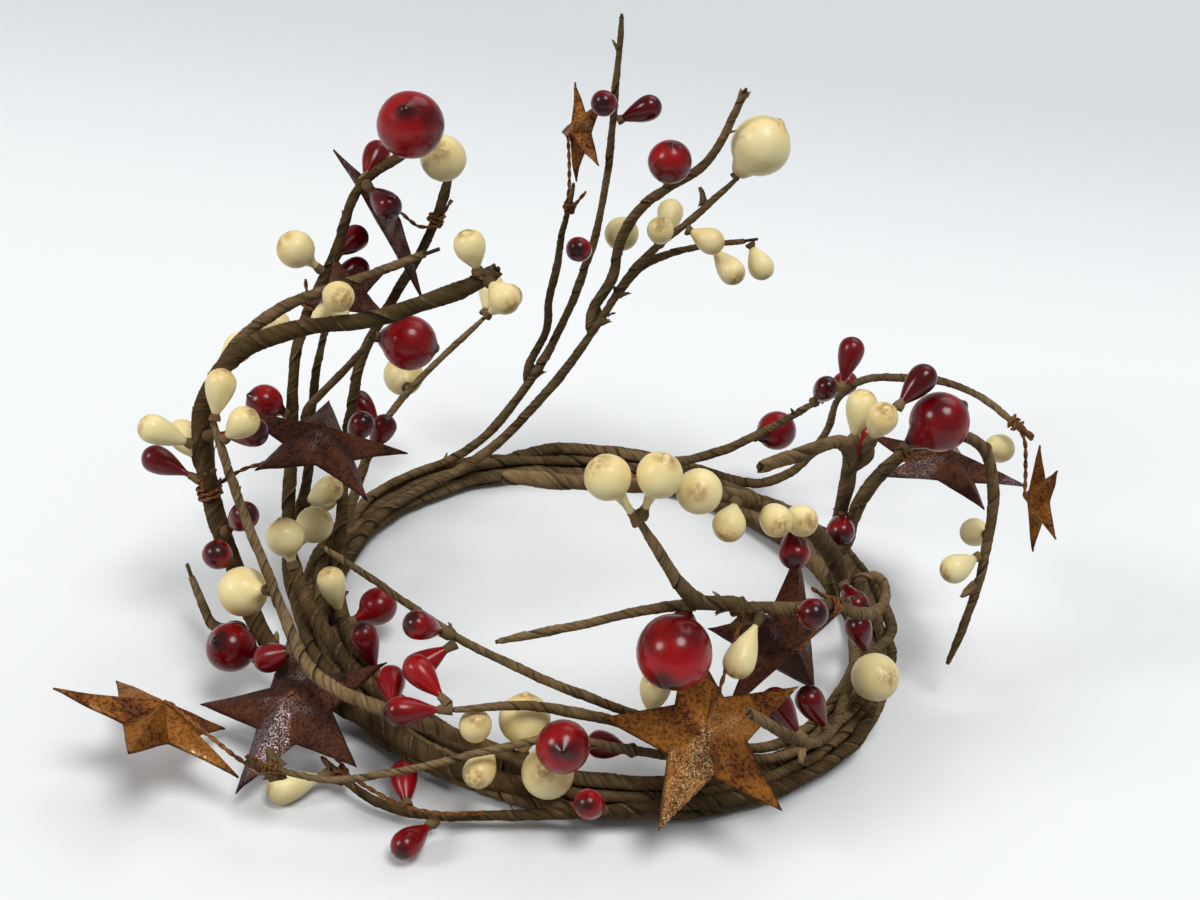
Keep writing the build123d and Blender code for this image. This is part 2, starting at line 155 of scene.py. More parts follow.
def paperFinish():
    look = paperLook
    finish, shader, pen, spot = newFinish("twigPaper")
    turn = reading(pen, "turn")
    along = reading(pen, "along")
    gap = reading(pen, "gap")
    tone = reading(pen, "tone")
    patches = grain(pen, spot, 65, 4, 0.6)
    olive = grain(pen, spot, 34, 3).band(0.46, 0.66)
    fibre = grain(pen, spot, 1500, 3, 0.7)
    ribbon = pen.node("CombineXYZ", None, {0: turn * 7.0, 1: along * 190.0, 2: patches * 2.0})
    pleats = grain(pen, ribbon, 1.0, 4, 0.65)
    colour = (patches + tone * 0.6).band(0.52, 1.0).mix(look["brown"], look["tan"])
    colour = (olive * 0.6).mix(colour, look["olive"])
    # painted shade in the pleat valleys
    colour = (pleats.band(0.54, 0.34) * 0.6).mix(colour, look["gap"])
    # pleat crests painted paler: partly drier paper, partly painted highlight
    colour = (pleats.band(0.58, 0.78) * (0.2 + tone * 0.5)).mix(colour, look["dry"])
    # painted shade under each overlap of the ribbon
    colour = (gap.band(0.0, 0.9) * 0.8).mix(colour, look["gap"])
    colour = (turn.band(0.86, 1.0) * fibre.band(0.40, 0.65) * 0.4).mix(colour, look["dry"])
    plug(pen, shader, "Base Color", colour)
    plug(pen, shader, "Roughness", 0.74 + fibre * 0.24)
    fixed(shader, {"Specular IOR Level": 0.15})
    bumped(pen, shader, pleats + fibre * 0.35, 0.8, 0.0005)
    return finish


# lacquer of the berries: tip is 0 at the stalk and 1 at the pinched end, shade is how dark the berry is

redLook = {"deep": rgb(0.115, 0.0007, 0.0024), "bright": rgb(0.420, 0.0024, 0.0050),
           "burnt": rgb(0.020, 0.004, 0.004), "bloom": rgb(0.26, 0.075, 0.065),
           "dark": rgb(0.040, 0.0004, 0.0020)}
creamLook = {"ivory": rgb(0.97, 0.84, 0.43), "straw": rgb(0.86, 0.61, 0.22), "rub": rgb(0.34, 0.18, 0.06),
             "pale": rgb(0.97, 0.89, 0.59)}


def redFinish():
    look = redLook
    finish, shader, pen, spot = newFinish("redLacquer")
    tip = reading(pen, "tip")
    clouds = grain(pen, spot, 75, 2)
    dust = grain(pen, spot, 900, 3)
    shade = reading(pen, "shade")
    colour = clouds.band(0.32, 0.64).mix(look["deep"], look["bright"])
    # painted shade: a red berry with a higher shade is darker
    colour = (shade * 0.8).mix(colour, look["dark"])
    bloom = grain(pen, spot, 120, 4, 0.65).band(0.66, 0.80) * tip.band(0.4, 0.9) * 0.45
    colour = bloom.mix(colour, look["bloom"])
    cap = (tip + grain(pen, spot, 210, 3) * 0.3).band(1.02, 1.14)
    colour = (cap * 0.9).mix(colour, look["burnt"])
    colour = (tip.band(0.20, 0.04) * 0.85).mix(colour, look["burnt"])
    plug(pen, shader, "Base Color", colour)
    plug(pen, shader, "Roughness", 0.24 + clouds.band(0.4, 0.7) * 0.12 + bloom * 0.6)
    plug(pen, shader, "Coat Weight", 0.28 - bloom * 0.5)
    fixed(shader, {"Specular IOR Level": 0.22, "Coat Roughness": 0.14})
    bumped(pen, shader, clouds + dust * 0.06, 0.25, 0.0006)
    return finish


def creamFinish():
    look = creamLook
    finish, shader, pen, spot = newFinish("creamLacquer")
    tip = reading(pen, "tip")
    clouds = grain(pen, spot, 60, 3)
    dust = grain(pen, spot, 620, 4, 0.65)
    shade = reading(pen, "shade")
    colour = (clouds.band(0.44, 0.74) * 0.6 + shade * 0.5).mix(look["ivory"], look["straw"])
    colour = (grain(pen, spot, 170, 2).band(0.50, 0.7) * 0.4).mix(colour, look["pale"])
    colour = (tip.band(0.76, 1.0) * 0.6).mix(colour, look["straw"])
    rub = tip.band(0.86, 1.0) * dust.band(0.38, 0.60)
    stain = dust.band(0.67, 0.75) * 0.35
    colour = (rub * 0.8).mix(colour, look["rub"])
    colour = stain.mix(colour, look["rub"])
    colour = (tip.band(0.16, 0.02) * 0.6).mix(colour, look["rub"])
    plug(pen, shader, "Base Color", colour)
    plug(pen, shader, "Roughness", 0.28 + dust * 0.22)
    fixed(shader, {"Specular IOR Level": 0.3, "Coat Weight": 0.15, "Coat Roughness": 0.2})
    bumped(pen, shader, clouds + dust * 0.12, 0.3, 0.0007)
    return finish


# rusted tin: shine is how much bare speckled metal shows where the wear and glint layer says so; the bright
# specks are partly real bare metal and partly painted glint

tinLooks = {
    "rustyTin": {"ground": rgb(0.150, 0.042, 0.008), "warm": rgb(0.400, 0.150, 0.022),
                 "pit": rgb(0.030, 0.010, 0.004), "bare": rgb(0.84, 0.56, 0.27), "shine": 0.62},
    "darkTin": {"ground": rgb(0.052, 0.017, 0.010), "warm": rgb(0.125, 0.040, 0.018),
                "pit": rgb(0.016, 0.007, 0.005), "bare": rgb(0.56, 0.47, 0.47), "shine": 0.60},
    "rustyWire": {"ground": rgb(0.15, 0.052, 0.016), "warm": rgb(0.34, 0.14, 0.045),
                  "pit": rgb(0.04, 0.015, 0.007), "bare": rgb(0.6, 0.4, 0.26), "shine": 0.66},
}


def tinFinish(name):
    look = tinLooks[name]
    finish, shader, pen, spot = newFinish(name)
    rim = reading(pen, "rim")
    wearAndGlint = reading(pen, "wearAndGlint")
    clouds = grain(pen, spot, 105, 4, 0.62)
    pits = grain(pen, spot, 1250, 3, 0.62)
    specks = grain(pen, spot, 2600, 2, 0.7)
    # where bright specks show: partly wear, partly painted glint on the arms that catch light
    sheen = (grain(pen, spot, 62, 3) + wearAndGlint * 0.28).band(look["shine"], look["shine"] + 0.16)
    colour = clouds.band(0.34, 0.66).mix(look["ground"], look["warm"])
    crust = pits.band(0.46, 0.60) * (0.45 + clouds.band(0.62, 0.38) * 0.5)
    colour = crust.mix(colour, look["pit"])
    colour = (rim.band(0.55, 1.0) * (0.4 + pits * 0.6)).mix(colour, look["pit"])
    bare = sheen * specks.band(0.47, 0.62)
    colour = (bare * 0.85).mix(colour, look["bare"])
    plug(pen, shader, "Base Color", colour)
    plug(pen, shader, "Metallic", 0.45 + bare * 0.5)
    plug(pen, shader, "Roughness", 0.55 - bare * 0.25 + pits.band(0.45, 0.7) * 0.2)
    fixed(shader, {"Specular IOR Level": 0.2})
    bumped(pen, shader, clouds * 0.5 + pits * 0.4 + specks * 0.2, 0.5, 0.0004)
    return finish


finishes = {"twig_paper": paperFinish(), "red_lacquer": redFinish(), "cream_lacquer": creamFinish(),
            "rusty_tin": tinFinish("rustyTin"), "dark_tin": tinFinish("darkTin"),
            "rusty_wire": tinFinish("rustyWire")}
slotOf = {row["node"]: row["material_slot"] for row in frame["record"]["subparts"]}
bodyOf = {node: body for body, nodes in frame["record"]["behaviour"]["bodies"].items() for node in nodes}
print("finishes made:", len(finishes))


def newLayers(bm, names):      # numbers kept at each vertex, for the finishes to read
    return {name: bm.verts.layers.float.new(name) for name in names}


def newObject(name, bm, finish):
    mesh = bpy.data.meshes.new(name)
    bm.to_mesh(mesh)
    bm.free()
    mesh.materials.append(finish)
    made = bpy.data.objects.new(name, mesh)
    bpy.context.scene.collection.objects.link(made)
    return made


def addPiece(name, bm, slot, body, *nodes, sheet=0, offset=0):
    for v in bm.verts:      # nothing reaches out of the box of the frame
        v.co = [min(max(c, low + sheet), high - sheet) for c, low, high in zip(v.co, *cadBox)]
    piece = newObject(name, bm, finishes[slot])
    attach(piece, body)
    if nodes:
        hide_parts(*nodes)
    if sheet:
        thick = piece.modifiers.new("sheet", "SOLIDIFY")
        thick.thickness = sheet
        thick.offset = offset
    return piece


def smoothFaces(bm, crease):
    bmesh.ops.recalc_face_normals(bm, faces=bm.faces)
    for face in bm.faces:
        face.smooth = True
    for edge in bm.edges:
        edge.smooth = edge.calc_face_angle(0) < radians(crease)


# twig routes, in mm: places on the ring are (angle, outward from the ring, up)

ring = {"radius": 72.0, "hoop": 2.4, "flat": 0.5, "strand": 1.6, "layGap": 0.35, "sway": 7.0,
        "laneStep": 14.0, "opening": 9.0}
hoopHeight = ring["hoop"] - ring["flat"]
firstLayer = ring["hoop"] + ring["strand"] + ring["layGap"]
strandSpread = 2 * degrees(asin((ring["strand"] + ring["layGap"] / 2) / firstLayer))
lanes = {"outer": 90 - strandSpread, "top": 90, "inner": 90 + strandSpread}
lineStep = 0.4 * mm
twigLines, forks = {}, []


def onRing(angle, out, up):
    r = ring["radius"] + out
    return Vector((r * cos(radians(angle)), r * sin(radians(angle)), up)) * mm


def aroundHoop(angle, layer, turn, step):
    turn = radians(turn + ring["sway"] * sin(radians(2 * angle)))
    r = (ring["radius"] + layer * cos(turn)) / cos(radians(step / 2))
    return onRing(angle, r - ring["radius"], hoopHeight + layer * sin(turn))


def roundTheRing(start, step, count, layer, turn):
    first = aroundHoop(start + step / 2, layer, turn, 0)
    return [first] + [aroundHoop(start + step * k, layer, turn, step) for k in range(1, count + 1)]


def nurbsMesh(lines, closed=False, resolution=16, thick=0):
    curve = bpy.data.curves.new("line", "CURVE")
    curve.dimensions = "3D"
    curve.bevel_depth = thick
    curve.bevel_resolution = 2
    curve.use_fill_caps = thick > 0
    for points in lines:
        spline = curve.splines.new("NURBS")
        spline.points.add(len(points) - 1)
        for spot, point in zip(spline.points, points):
            spot.co = (*point, 1)
        spline.order_u = 3
        spline.use_endpoint_u = not closed
        spline.use_cyclic_u = closed
        spline.resolution_u = resolution
    holder = bpy.data.objects.new("line", curve)
    mesh = bpy.data.meshes.new_from_object(holder)
    bpy.data.objects.remove(holder)
    bpy.data.curves.remove(curve)
    return mesh


def nurbsLine(points, closed=False):
    mesh = nurbsMesh([points], closed)
    line = [v.co.copy() for v in mesh.vertices]
    bpy.data.meshes.remove(mesh)
    return line + line[:1] if closed else line


def evenly(line, step):    # the same line with its points at even distances
    length = sum((b - a).length for a, b in zip(line, line[1:]))
    count = max(8, round(length / step))
    gap = length / count
    spots, left = [line[0]], gap
    for a, b in zip(line, line[1:]):
        run = (b - a).length
        while left <= run and len(spots) < count:
            spots.append(a.lerp(b, left / run))
            left += gap
        left -= run
    return spots + [line[-1]], length


def frames(spots):         # a steady pair of cross directions at each point
    steps = [b - a for a, b in zip(spots[:1] + spots, spots[1:] + spots[-1:])]
    ways = [step.normalized() for step in steps if step.length > 0]
    ways = (ways + ways[-1:])[:len(spots)]
    side = ways[0].orthogonal().normalized()
    pairs = []
    for before, way in zip(ways[:1] + ways, ways):
        side = before.rotation_difference(way) @ side
        side = (side - way * side.dot(way)).normalized()
        pairs.append((side, way.cross(side)))
    return pairs


wrapLook = {"sides": 15, "ringsPerTurn": 28, "pitch": 5.2, "slip": 0.8, "slipSize": 16.0, "cover": 0.965,
            "body": 0.98, "lip": 0.18, "lipFrom": 0.4, "gapTo": 0.2, "loose": 0.45, "looser": 1.4,
            "looseSize": 12.0, "tight": 0.04, "slack": 1.25, "lump": 0.16, "lumpSize": 9.0, "knob": 0.06,
            "knobSize": 3.0, "oval": 0.12, "stray": 0.32, "straySize": 11.0, "crumple": 0.22,
            "crumpleSize": 1.3, "crest": 0.25, "lowest": 0.02, "wire": 0.45, "tearRun": 2.0, "dryRun": 14.0,
            "dry": 0.4, "thinFrom": 0.35, "crease": 34}
paperLayers = ("turn", "along", "gap", "tone")
# how a twig ends: taper is how much thinner it gets on the way and width the share left at the end;
# in mm, over is the length that the end changes over, and wire is what sticks out
twigEnds = {"twisted": {"taper": 0.34, "over": 7.0, "width": 0.70, "wire": 0.6, "depth": 0.7, "tear": 0.5},
            "blunt": {"taper": 0.16, "over": 3.0, "width": 0.86, "wire": 0.3, "depth": 0.5, "tear": 0.9},
            "open": {"taper": 0.20, "over": 4.5, "width": 1.30, "wire": 0.0, "depth": 2.4, "tear": 1.8},
            "bare": {"taper": 0.36, "over": 2.0, "width": 0.92, "wire": 3.4, "depth": 1.0, "tear": 0.8},
            "hidden": {"taper": 0.0, "over": 4.0, "width": 0.6, "wire": 0.6, "depth": 0.7, "tear": 0.5}}
endOfTwig = {"back_berry_twig": "open", "left_inner_stem": "blunt", "front_right_twig": "blunt",
             "left_arch_stem": "blunt", "right_stem": "blunt", "front_right_arch": "blunt",
             "back_level_twig": "bare", "left_arch_fork": "bare", "right_back_stem": "bare",
             "left_outer_twig": "bare"}
# how dry and pale the paper is; the lowest values, for the left arch and tall stems and the front low twig,
# are painted shade on twigs that lie in shadow
toneAndShadeOfTwig = {"front_cross_twig": 0.85, "front_star_twig": 0.75, "left_arch_stem": 0.1,
              "left_tall_stem": 0.1, "left_middle_stem": 0.2, "left_inner_stem": 0.2, "left_front_stem": 0.65,
              "front_long_twig": 0.6, "front_upright_twig": 0.4, "front_low_twig": 0.05, "base_hoop": 0.2,
              "back_star_twig": 0.3}


def wave(seed, along, size):      # a smooth random number that changes over size millimetres
    return noise.noise(seed + Vector((0, 0, along / (size * mm))))


def ease(share):                  # 0 to 1 with soft ends
    share = min(max(share, 0), 1)
    return share * share * (3 - 2 * share)


def endingOf(name):
    hidden = name == "base_hoop" or name.endswith("_strand")
    return twigEnds["hidden" if hidden else endOfTwig.get(name, "twisted")]


def thinning(name, share):        # how thick the twig still is, at a share of its length
    return 1 - endingOf(name)["taper"] * ease((share - wrapLook["thinFrom"]) / (1 - wrapLook["thinFrom"]))


def rollRibbon(bm, name, length, r, seed, closed):    # a flat ribbon round the wire, each turn over the last
    look = wrapLook
    ending = endingOf(name)
    layers = newLayers(bm, paperLayers)
    sides, tone = look["sides"], toneAndShadeOfTwig.get(name, 0.5)
    paper = length if closed else length - ending["wire"] * mm
    turns = paper / (look["pitch"] * r)
    rows = ceil(turns * look["ringsPerTurn"])
    torn = [random.random() * ending["tear"] * mm for k in range(sides)]
    core = min(look["wire"] * mm, 0.5 * r * ending["width"])
    depth, wire = ending["depth"] * mm, ending["wire"] * mm
    # rows past the paper: rim, inside, then the cut wire, as (share of the paper, plus, place, gap)
    closing = [(0.94, 0, 0, 0), (0.78, 0, 0, 0.3), (0.66, 0, -depth, 1), (0, core, -depth, 1),
               (0, core, wire, 0.5), (0, 0.8 * core, wire, 0.5)]
    folds = 0 if closed else len(closing)
    bmesh.ops.create_grid(bm, x_segments=rows + folds, y_segments=sides, size=0.5)
    for v in bm.verts:
        row, column = round((v.co.x + 0.5) * (rows + folds)), round((v.co.y + 0.5) * sides)
        along = min(row, rows) / rows * paper
        part = column / (sides - 1) if column < sides else 0
        loose = look["loose"] + look["looser"] * wave(seed, along, look["looseSize"])
        loose = min(max(loose, look["tight"]), look["slack"])
        around = along / paper * turns + look["slip"] * wave(-seed, along, look["slipSize"])
        around = 2 * pi * (around + (look["cover"] * part if column < sides else 1))
        lump = look["lump"] * wave(seed, along, look["lumpSize"])
        knob = look["knob"] * wave(seed, along, look["knobSize"])
        out = r * (look["body"] + look["lip"] * loose * (part - look["lipFrom"]))
        out *= 1 + lump + knob
        out *= thinning(name, along / paper)
        gap = max(1 - part / look["gapTo"], 0) * loose
        z = along
        if not closed:
            left = (paper - along) / mm
            out *= 1 + (ending["width"] - 1) * ease(1 - left / ending["over"])
            z -= torn[column % sides] * ease(1 - left / look["tearRun"]) if row <= rows + 2 else 0
        if row > rows:
            share, plus, place, gap = closing[row - rows - 1]
            out, z = out * share + plus, z + place
        v[layers["turn"]], v[layers["along"]], v[layers["gap"]] = part, along, gap
        dried = ease(1 - (length - along) / (look["dryRun"] * mm)) * (not closed)
        v[layers["tone"]] = tone + look["dry"] * dried
        v.co = (out * cos(around) * (1 + look["oval"]), out * sin(around) * (1 - look["oval"]), z)
    bmesh.ops.remove_doubles(bm, verts=[v for v in bm.verts if v.is_boundary], dist=weld)


def wrapTwig(name, points, radius, root=None, closed=False, stray=1.0):
    look = wrapLook
    random.seed(name)
    seed = randomSpot(50)
    twigLines[name] = (evenly(nurbsLine(points, closed), lineStep)[0], radius)
    spots, length = evenly(nurbsLine([root] + points if root else points, closed), lineStep)
    pairs = frames(spots)
    bm = bmesh.new()
    rollRibbon(bm, name, length, radius * mm, seed, closed)
    bmesh.ops.holes_fill(bm, edges=[e for e in bm.edges if e.is_boundary], sides=0)
    last = len(spots) - 1
    for v in bm.verts:      # bends the straight twig along its line
        x, y, z = v.co
        at = min(max(z / length, 0), 1) * last
        k = min(int(at), last - 1)
        part = at - k
        side, across = pairs[k][0].lerp(pairs[k + 1][0], part), pairs[k][1].lerp(pairs[k + 1][1], part)
        x += stray * look["stray"] * mm * wave(seed, z, look["straySize"])
        y += stray * look["stray"] * mm * wave(-seed, z, look["straySize"])
        v.co = spots[k].lerp(spots[k + 1], part) + side * x + across * y
    bm.normal_update()
    for v in bm.verts:
        crease = abs(noise.noise(seed + v.co / (look["crumpleSize"] * mm)))
        v.co += v.normal * look["crumple"] * mm * (look["crest"] - crease)
        v.co.z = max(v.co.z, look["lowest"] * mm)
    smoothFaces(bm, look["crease"])
    return addPiece(name + "_paper", bm, "twig_paper", "wreath", name)


rootLook = {"dive": 2.0, "turn": 6.0, "inside": 4.0}    # how a twig starts out of sight: mm, degrees, mm


def laneTwig(name, radius, lane, start, end, *free):
    half = radians(strandSpread / 2)
    rest = (ring["strand"] + radius + ring["layGap"]) ** 2 - (firstLayer * sin(half)) ** 2
    layer = firstLayer * cos(half) + sqrt(rest)
    count = max(2, round(abs(end - start) / ring["laneStep"]))
    tail = roundTheRing(start, (end - start) / count, count, layer, lanes[lane])
    before = start - rootLook["turn"] * (1 if end > start else -1)
    root = aroundHoop(before, firstLayer - rootLook["dive"], lanes[lane], 0)
    wrapTwig(name, tail + [onRing(*p) for p in free], radius, root)


def sideTwig(name, radius, parent, start, end, side, *free):
    spots, parentRadius = twigLines[parent]
    points = []
    for f in (start, (start + end) / 2, end):
        k = min(int(f * (len(spots) - 1)), len(spots) - 2)
        along = (spots[k + 1] - spots[k]).normalized()
        angle = atan2(spots[k].y, spots[k].x)
        push = (Vector((-sin(angle), cos(angle), 0)) * side[0] + Vector((cos(angle), sin(angle), 0)) * side[1]
                + Vector((0, 0, side[2])))
        push = (push - along * push.dot(along)).normalized()
        points.append(spots[k] + push * (parentRadius + radius + ring["layGap"]) * mm)
    forks.append((parent, start))
    root = spots[max(round(start * (len(spots) - 1) - rootLook["inside"] * mm / lineStep), 0)]
    wrapTwig(name, points + [onRing(*p) for p in free], radius, root)


# the hoop and the four strands laid over it; each strand's ends dive into the hoop
wrapTwig("base_hoop", [onRing(a, 0, hoopHeight) for a in range(0, 360, 12)], ring["hoop"], closed=True)
strandPlaces = {"outer_low_strand": (-1.5, 20), "outer_high_strand": (-0.5, 110),
                "inner_high_strand": (0.5, 205), "inner_low_strand": (1.5, 300)}
for name, (offset, start) in strandPlaces.items():
    count = round((360 - ring["opening"]) / ring["laneStep"])
    step = (360 - ring["opening"]) / count
    turn = 90 + offset * strandSpread
    points = roundTheRing(start, step, count - 1, firstLayer, turn)
    points.append(aroundHoop(start + step * (count - 0.5), firstLayer, turn, 0))
    points.append(aroundHoop(start + step * count, rootLook["dive"] / 2, turn, 0))
    wrapTwig(name, points, ring["strand"], aroundHoop(start, rootLook["dive"] / 2, turn, 0), stray=2.4)
print("hoop and strands wound")

# left sprays
laneTwig("left_arch_stem", 2.1, "outer", -98, -132,
         (-142, 13, 9), (-152, 17, 13), (-160, 21, 24), (-164, 26, 40), (-166, 29, 56), (-167, 26, 69),
         (-167, 18, 79), (-165, 6, 85), (-161, -9, 89), (-157, -21, 95), (-150, -29, 101), (-144, -33, 107))
sideTwig("left_arch_fork", 1.5, "left_arch_stem", 0.52, 0.60, (-1, -0.3, 0),
         (-170, 22, 76), (-171, 9, 87), (-171, -5, 93), (-172, -16, 98), (-173, -25, 102))
laneTwig("left_front_stem", 1.5, "top", -60, -94,
         (-103, 3, 14), (-112, 9, 20), (-118, 15, 24), (-125, 19, 26), (-132, 20, 26), (-140, 18, 30),
         (-149, 18, 38), (-156, 22, 51), (-160, 26, 66))
sideTwig("left_outer_twig", 1.4, "left_arch_stem", 0.30, 0.345, (0, 1, -0.3),
         (-157, 26, 10), (-162, 29, 13), (-167, 32, 18))
laneTwig("left_tall_stem", 1.7, "top", -102, -144,
         (-154, 3, 13), (-165, 6, 16), (-176, 9, 18), (-184, 11, 24), (-189, 13, 34), (-192, 15, 47),
         (-195, 16, 61), (-198, 12, 74), (-200, 8, 88), (-202, 7, 99), (-204, 0, 107), (-206, -8, 113))
laneTwig("left_middle_stem", 1.4, "outer", -142, -164,
         (-174, 9, 10), (-182, 9, 15), (-189, 8, 25), (-194, 11, 38), (-198, 12, 56), (-201, 11, 68))
laneTwig("left_inner_stem", 1.5, "inner", -100, -156,
         (-167, -5, 10), (-178, -4, 14), (-187, -2, 19), (-196, 2, 28), (-203, 6, 41), (-207, 6, 54),
         (-212, 2, 68), (-216, -2, 80), (-219, -4, 92), (-220, -5, 102))
sideTwig("left_cross_twig", 1.3, "left_tall_stem", 0.55, 0.60, (-0.3, -1, 0),
         (-192, 8, 46), (-194, 3, 53), (-195, -1, 59), (-196, -4, 65))

# back sprays
laneTwig("back_left_twig", 1.5, "top", -166, -186,
         (-195, -1, 14), (-203, 2, 19), (-211, 5, 24), (-219, 7, 31), (-230, 8, 40), (-239, 8, 50))
laneTwig("back_tall_stem", 1.5, "top", -196, -232,
         (-240, -1, 18), (-247, -2, 32), (-253, -4, 50), (-257, -5, 68), (-259, -6, 84), (-259.5, -7, 100),
         (-259, -8, 120), (-258, -9.5, 142))
sideTwig("back_star_twig", 1.2, "back_tall_stem", 0.40, 0.48, (1, 0.4, 0),
         (-250, -1, 58), (-251.5, -1, 68), (-251, -2, 78), (-252, -5, 88), (-252, -6, 95))
laneTwig("back_spread_stem", 1.7, "inner", -182, -226,
         (-236, -6, 13), (-246, -8, 26), (-255, -10, 42), (-262, -10, 57), (-267, -10, 70), (-273, -10, 80),
         (-280, -8, 88), (-285, -6, 95), (-289, -3, 101))
sideTwig("back_berry_twig", 1.5, "back_spread_stem", 0.66, 0.74, (1, 0.5, 0.5),
         (-264, -8, 78), (-266, -10, 87), (-270, -11, 94), (-275, -12, 99), (-281, -9, 103), (-284, -7, 109),
         (-286, -5, 117), (-288, -4, 126))
sideTwig("back_level_twig", 1.3, "back_spread_stem", 0.72, 0.78, (-0.3, 1, -0.3),
         (-275, -5, 76), (-281, -4, 79), (-288, 0, 81), (-294, 4, 83))
laneTwig("back_right_stem", 1.5, "top", -246, -284,
         (-293, 2, 15), (-301, 4, 24), (-308, 5, 34), (-314, 5, 43))

# right sprays
laneTwig("right_back_stem", 1.3, "outer", 104, 58,
         (49, 5, 17), (41, 1, 32), (33, -6, 47), (27, -11, 60), (20, -10, 69), (13, -2, 74), (7, 8, 77),
         (2, 18, 75), (-1, 26, 70))
laneTwig("right_stem", 2.0, "inner", 62, 14,
         (6, -9, 11), (-2, -13, 19), (-7, -15, 32), (-11, -16, 46), (-16, -15.5, 60), (-22, -15, 73),
         (-34, -15.5, 80), (-48, -15, 81), (-60, -14, 81))
sideTwig("right_fork", 1.5, "right_stem", 0.73, 0.78, (0.6, 1, 0),
         (-18, -10, 79.5), (-14.5, -8, 82.5))
sideTwig("right_berry_twig", 1.3, "right_stem", 0.61, 0.66, (-0.8, 1, 0),
         (-15, -9, 66), (-13, -5, 71))
sideTwig("right_drooping_twig", 1.5, "right_stem", 0.53, 0.59, (0.8, 1, 0),
         (-9, -10, 58), (-5, -2, 67), (-3, 7, 71), (-3, 14, 69), (-4, 18.5, 61), (-5, 20.5, 49),
         (-6, 21, 36), (-8, 20, 23), (-9.5, 18, 11))

# front sprays
laneTwig("front_right_arch", 2.0, "top", 52, 4,
         (-5, -4, 13), (-11, -9, 21), (-16, -11, 31), (-23, -13, 42), (-32, -13, 52), (-42, -13, 61),
         (-52, -13, 69), (-66, -11, 77), (-78, -10, 80), (-95, -10, 79), (-112, -7, 77))
sideTwig("front_cross_twig", 1.4, "front_right_arch", 0.40, 0.44, (0.3, 1, 0),
         (-14, -3, 36), (-19, 0, 34), (-26, 0, 35), (-33, -1, 39), (-42, -3, 46), (-52, -3, 49),
         (-62, -4, 52), (-72, -5, 54), (-83, -5, 52), (-97, -3, 46), (-108, -2, 39))
sideTwig("front_upright_twig", 1.6, "front_cross_twig", 0.61, 0.67, (0, 1, 1),
         (-77, -2, 61), (-81, -3, 67), (-86, -4, 76))
laneTwig("front_right_twig", 1.4, "outer", 46, 6,
         (-4, 4, 11), (-13, 0, 13.5), (-22, -3, 14), (-31, -1, 12.5), (-41, 4, 13.5), (-52, 11, 21),
         (-61, 17, 32), (-69, 18, 43))
laneTwig("front_long_twig", 1.4, "inner", 4, -50,
         (-60, -6, 11), (-70, -7, 17), (-80, -7, 22), (-88, -6, 26), (-95, -5, 29), (-105, -5, 32),
         (-116, -3, 35), (-130, -2, 38), (-141, 2, 41), (-147, 5, 41))
sideTwig("front_short_twig", 1.5, "front_long_twig", 0.50, 0.56, (0, 1, -0.4),
         (-92, 0, 27), (-98, 2, 29), (-105, 8, 30), (-110, 13, 30))
laneTwig("front_star_twig", 1.3, "top", -6, -50,
         (-60, 0, 12), (-72, 1, 16), (-84, 2, 20), (-94, 6, 25), (-101, 13, 25), (-109, 21, 22),
         (-116, 29, 18), (-122, 36, 16), (-128, 42, 18))
laneTwig("front_low_twig", 1.7, "outer", -24, -64,
         (-77, 7, 8), (-91, 9, 6), (-103, 13, 4.5), (-110, 18, 3.5), (-116, 21, 3.5), (-122, 21.5, 4.5),
         (-128, 21, 6.5))
print("twigs wound:", len(twigLines))


# berries and pips: each stands on the axis of its own solid

def looseSolids(node):
    bm = bmesh.new()
    bm.from_mesh(frame["nodes"][node].data)
    bmesh.ops.remove_doubles(bm, verts=bm.verts, dist=weld)
    left = set(bm.verts)
    solids = []
    for first in bm.verts:
        if first not in left:
            continue
        left.remove(first)
        stack, solid = [first], []
        while stack:
            v = stack.pop()
            solid.append(v.co.copy())
            for edge in v.link_edges:
                other = edge.other_vert(v)
                if other in left:
                    left.remove(other)
                    stack.append(other)
        solids.append(solid)
    bm.free()
    return sorted(solids, key=lambda solid: min(p.x for p in solid))    # the same order in every run


def endOf(solid, way, slice):
    top = max(p.dot(way) for p in solid)
    near = [p for p in solid if p.dot(way) > top - slice]
    centre = sum(near, Vector()) / len(near)
    return centre, max((p - centre).length for p in near)


def stalkAndTip(solid):
    middle = sum(solid, Vector()) / len(solid)
    one = max(solid, key=lambda p: (p - middle).length)
    two = max(solid, key=lambda p: (p - one).length)
    for slice in (0.15 * mm, 0.05 * mm, 0.03 * mm):
        way = (two - one).normalized()
        one, oneWidth = endOf(solid, -way, slice)
        two, twoWidth = endOf(solid, way, slice)
    if twoWidth > oneWidth:
        one, two = two, one
    way = (two - one).normalized()
    widest = max(((p - one) - way * (p - one).dot(way)).length for p in solid)
    return one, two, widest


# how dark each group of red berries is: the left and back groups are painted darker than the front as painted
# shade, with a random spread within each group
shadesOf = {"left_red_berries": (0.2, 0.5), "front_red_berries": (0.0, 0.2),
            "back_and_right_red_berries": (0.3, 0.6), "left_red_pips": (0.5, 0.9),
            "front_red_pips": (0.1, 0.6), "back_and_right_red_pips": (0.5, 0.9)}
berryLook = {"shades": (0.0, 0.5), "steps": 30, "rows": 14, "stalk": 0.7, "root": 0.9, "uneven": 0.028,
             "unevenSize": 0.9, "crease": 60}
